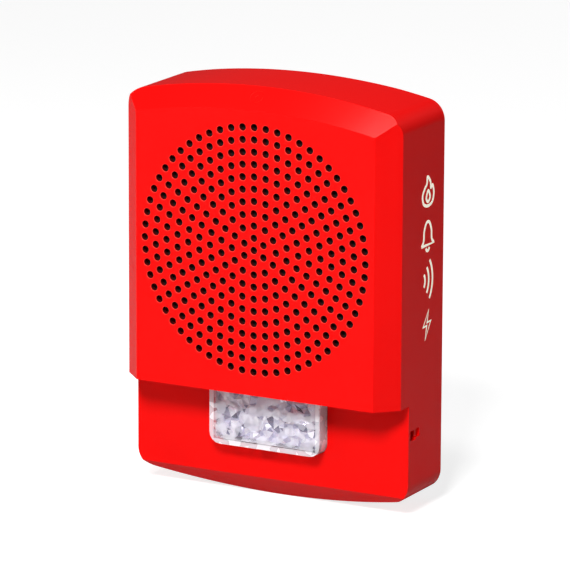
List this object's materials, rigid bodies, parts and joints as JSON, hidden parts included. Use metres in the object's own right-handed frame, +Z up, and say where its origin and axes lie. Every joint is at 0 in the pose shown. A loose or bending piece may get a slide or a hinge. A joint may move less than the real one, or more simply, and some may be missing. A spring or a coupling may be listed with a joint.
{
  "type": "horn strobe",
  "caption": "Wall-mounted fire alarm appliance: red moulded cover with a round perforated sounder grille above a recessed clear strobe lens, hung on a wall plate it swings out from.",
  "frame": {"origin": "centre of the wall plate's back face, on the wall", "axes": "+Z up, +Y into the wall, so the front faces -Y, and +X to the right seen from the front"},
  "size_m": [0.1206, 0.044, 0.1668],
  "materials": {
    "red_cover": "satin moulded plastic",
    "lens": "clear polycarbonate, polished",
    "reflector": "metallised plastic",
    "emitter": "phosphor",
    "black_plastic": "moulded",
    "ivory_plastic": "moulded",
    "zinc_plate": "zinc plated",
    "dark_steel": "black painted steel",
    "contact_brass": "tinned edges",
    "ferrite": "sintered",
    "cloth": "woven",
    "foam": "closed-cell foam",
    "paper": "pressed pulp",
    "copper": "enamelled wire",
    "board": "solder mask",
    "sleeve": "shrink sleeve",
    "red_lead": "insulation",
    "black_lead": "insulation"
  },
  "bodies": {
    "wall_side": {"mounting_plate": "zinc_plate", "lock_bracket": "zinc_plate", "terminal_block": "ivory_plastic", "terminal_contact_1": "contact_brass", "terminal_contact_2": "contact_brass", "terminal_contact_3": "contact_brass", "terminal_contact_4": "contact_brass", "terminal_screw_1": "zinc_plate", "terminal_screw_2": "zinc_plate", "terminal_screw_3": "zinc_plate", "terminal_screw_4": "zinc_plate"},
    "appliance": {"front_cover": "red_cover", "strobe_lens": "lens", "strobe_reflector": "reflector", "strobe_led_1": "emitter", "strobe_led_2": "emitter", "strobe_led_3": "emitter", "strobe_led_4": "emitter", "rear_chassis": "black_plastic", "candela_switch_body": "black_plastic", "volume_switch_body": "black_plastic", "contact_header": "ivory_plastic", "speaker_top_plate": "zinc_plate", "speaker_yoke": "zinc_plate", "chassis_screw_1": "zinc_plate", "chassis_screw_2": "zinc_plate", "chassis_screw_3": "zinc_plate", "chassis_screw_4": "zinc_plate", "speaker_screw_1": "zinc_plate", "speaker_screw_2": "zinc_plate", "speaker_screw_3": "zinc_plate", "speaker_screw_4": "zinc_plate", "speaker_basket": "dark_steel", "transformer_core": "dark_steel", "contact_spring_1": "contact_brass", "contact_spring_2": "contact_brass", "contact_spring_3": "contact_brass", "contact_spring_4": "contact_brass", "speaker_magnet": "ferrite", "boost_inductor": "ferrite", "grille_scrim": "cloth", "speaker_spider": "cloth", "speaker_gasket": "foam", "speaker_surround": "foam", "speaker_terminal_strip": "paper", "transformer_winding": "copper", "main_board": "board", "strobe_board": "board", "storage_capacitor": "sleeve", "filter_capacitor": "sleeve", "speaker_lead_positive": "red_lead", "speaker_lead_negative": "black_lead"},
    "diaphragm": {"speaker_cone": "paper", "dust_cap": "cloth", "voice_coil_former": "paper", "voice_coil_winding": "copper"},
    "candela_slider": {"candela_slider": "ivory_plastic"},
    "volume_dial": {"volume_dial": "ivory_plastic"},
    "lock_screw": {"lock_screw": "zinc_plate"},
    "lock_nut": {"lock_nut": "zinc_plate"}
  },
  "joints": [
    {"name": "appliance_swing", "type": "hinge", "parent": "wall_side", "child": "appliance", "pos_m": [0, -0.0035, 0.07798], "axis": [-1, 0, 0], "range_deg": [0, 22]},
    {"name": "diaphragm_travel", "type": "slide", "parent": "appliance", "child": "diaphragm", "axis": [0, -1, 0], "range_m": [-0.001, 0.001], "stiffness_N_per_m": 1500, "deforming": ["speaker_surround", "speaker_spider"]},
    {"name": "candela_select", "type": "slide", "parent": "appliance", "child": "candela_slider", "axis": [1, 0, 0], "range_m": [0, 0.009]},
    {"name": "volume_turn", "type": "hinge", "parent": "appliance", "child": "volume_dial", "pos_m": [-0.0345, -0.007, -0.0377], "axis": [0, -1, 0], "range_deg": [-135, 135]},
    {"name": "lock_screw_turn", "type": "hinge", "parent": "appliance", "child": "lock_screw", "pos_m": [0, -0.009, -0.0806], "axis": [0, 0, 1], "range_deg": [0, 1080]},
    {"name": "lock_nut_rise", "type": "slide", "parent": "appliance", "child": "lock_nut", "axis": [0, 0, 1], "range_m": [0, 0.0021]}
  ],
  "couplings": [
    {"joint": "lock_screw_turn", "follows": "lock_nut_rise", "rad_per_m": 8976}
  ]
}
